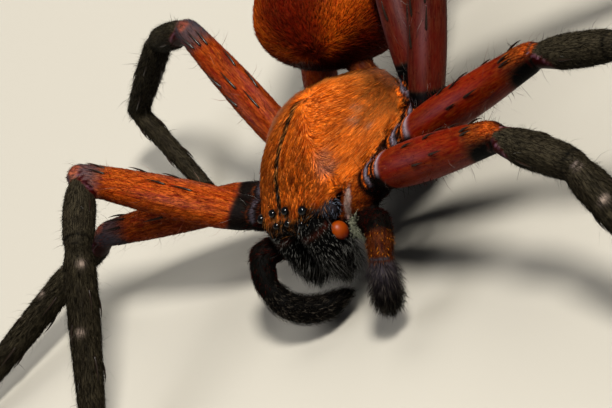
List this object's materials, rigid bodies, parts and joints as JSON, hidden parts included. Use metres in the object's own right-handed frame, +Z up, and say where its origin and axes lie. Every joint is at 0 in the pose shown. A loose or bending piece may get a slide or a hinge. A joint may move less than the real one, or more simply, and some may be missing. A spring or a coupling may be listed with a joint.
{
  "type": "huntsman spider model",
  "caption": "Life-size huntsman spider in a resting stance, with a domed carapace, low eyes, stout jaws, curled palps, spined legs and a rounded abdomen.",
  "frame": {"origin": "middle of the footprint of the whole spider, on the floor under its feet", "axes": "+Z up; the spider faces -Y and its left side is +X"},
  "size_m": [0.0616, 0.0484, 0.0125],
  "materials": {
    "carapace": "silky orange hair over a brown shell",
    "sternum": "dull dark brown",
    "abdomen": "short dense hair, dark red-brown with orange",
    "spinnerets": "dull dark brown",
    "coxa": "black with pale arcs of hair",
    "femur": "glossy deep red with thin orange hair and black spines",
    "distal_leg": "dull charcoal fur with black spines",
    "palp": "dark red-brown with thin hair",
    "palp_brush": "bushy black and grey bristles",
    "chelicera": "black with grey-tipped bristles",
    "fang": "polished dark red-black",
    "eye": "polished black lens"
  },
  "bodies": {
    "root": {"carapace": "carapace", "sternum": "sternum", "abdomen": "abdomen", "spinnerets": "spinnerets", "leg_left_1_coxa": "coxa", "leg_left_1_femur": "femur", "leg_left_1_patella": "distal_leg", "leg_left_1_tibia": "distal_leg", "leg_left_1_foot": "distal_leg", "leg_left_2_coxa": "coxa", "leg_left_2_femur": "femur", "leg_left_2_patella": "distal_leg", "leg_left_2_tibia": "distal_leg", "leg_left_2_foot": "distal_leg", "leg_left_3_coxa": "coxa", "leg_left_3_femur": "femur", "leg_left_3_patella": "distal_leg", "leg_left_3_tibia": "distal_leg", "leg_left_3_foot": "distal_leg", "leg_left_4_coxa": "coxa", "leg_left_4_femur": "femur", "leg_left_4_patella": "distal_leg", "leg_left_4_tibia": "distal_leg", "leg_left_4_foot": "distal_leg", "leg_right_1_coxa": "coxa", "leg_right_1_femur": "femur", "leg_right_1_patella": "distal_leg", "leg_right_1_tibia": "distal_leg", "leg_right_1_foot": "distal_leg", "leg_right_2_coxa": "coxa", "leg_right_2_femur": "femur", "leg_right_2_patella": "distal_leg", "leg_right_2_tibia": "distal_leg", "leg_right_2_foot": "distal_leg", "leg_right_3_coxa": "coxa", "leg_right_3_femur": "femur", "leg_right_3_patella": "distal_leg", "leg_right_3_tibia": "distal_leg", "leg_right_3_foot": "distal_leg", "leg_right_4_coxa": "coxa", "leg_right_4_femur": "femur", "leg_right_4_patella": "distal_leg", "leg_right_4_tibia": "distal_leg", "leg_right_4_foot": "distal_leg", "palp_left_arm": "palp", "palp_left_tarsus": "palp_brush", "palp_right_arm": "palp", "palp_right_tarsus": "palp_brush", "chelicera_left": "chelicera", "fang_left": "fang", "eye_median_back_left": "eye", "eye_lateral_back_left": "eye", "eye_median_front_left": "eye", "eye_lateral_front_left": "eye", "chelicera_right": "chelicera", "fang_right": "fang", "eye_median_back_right": "eye", "eye_lateral_back_right": "eye", "eye_median_front_right": "eye", "eye_lateral_front_right": "eye"}
  },
  "joints": []
}
